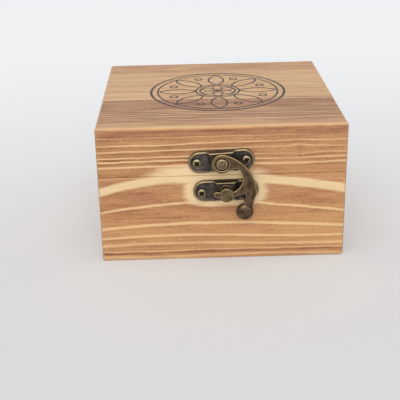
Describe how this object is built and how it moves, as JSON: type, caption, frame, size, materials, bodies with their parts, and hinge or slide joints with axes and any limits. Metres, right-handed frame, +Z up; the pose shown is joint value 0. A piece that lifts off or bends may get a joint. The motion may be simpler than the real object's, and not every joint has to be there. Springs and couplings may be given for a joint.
{
  "type": "dice box with hinged lid",
  "caption": "Small square wooden box with a hinged lid, two back hinges and a swing-arm latch of antique bronze on its front.",
  "frame": {"origin": "centre of the flat underside, on the surface that the box stands on", "axes": "+Z up, the latch is on the -Y face and the hinges are on the +Y face, +X is to the right seen from the latch"},
  "size_m": [0.12, 0.1316, 0.069],
  "materials": {
    "scorched_pine": "scorched and brushed pine with pale growth lines, satin",
    "antique_bronze": "dark antique bronze plating with worn bright edges",
    "worn_bronze": "antique bronze rubbed lighter on its raised faces"
  },
  "bodies": {
    "lower_half": {"bottom_panel": "scorched_pine", "box_front_board": "scorched_pine", "box_back_board": "scorched_pine", "box_left_board": "scorched_pine", "box_right_board": "scorched_pine", "catch_plate": "antique_bronze", "catch_post": "worn_bronze", "catch_screw_left": "worn_bronze", "catch_screw_right": "worn_bronze", "box_hinge_leaf_left": "antique_bronze", "box_hinge_leaf_right": "antique_bronze", "hinge_pin_left": "worn_bronze", "hinge_pin_right": "worn_bronze", "box_hinge_screws": "worn_bronze"},
    "lid": {"top_panel": "scorched_pine", "lid_front_board": "scorched_pine", "lid_back_board": "scorched_pine", "lid_left_board": "scorched_pine", "lid_right_board": "scorched_pine", "latch_plate": "antique_bronze", "latch_washer": "antique_bronze", "latch_rivet": "worn_bronze", "latch_screw_left": "worn_bronze", "latch_screw_right": "worn_bronze", "lid_hinge_leaf_left": "antique_bronze", "lid_hinge_leaf_right": "antique_bronze", "lid_hinge_screws": "worn_bronze"},
    "latch_arm": {"swing_arm": "antique_bronze"}
  },
  "joints": [
    {"name": "lid_hinge", "type": "hinge", "parent": "lower_half", "child": "lid", "pos_m": [0, 0.0619, 0.0446], "axis": [-1, 0, 0], "range_deg": [0, 170]},
    {"name": "arm_swing", "type": "hinge", "parent": "lid", "child": "latch_arm", "pos_m": [-0.0004, -0.065, 0.0522], "axis": [0, -1, 0], "range_deg": [0, 180]}
  ]
}
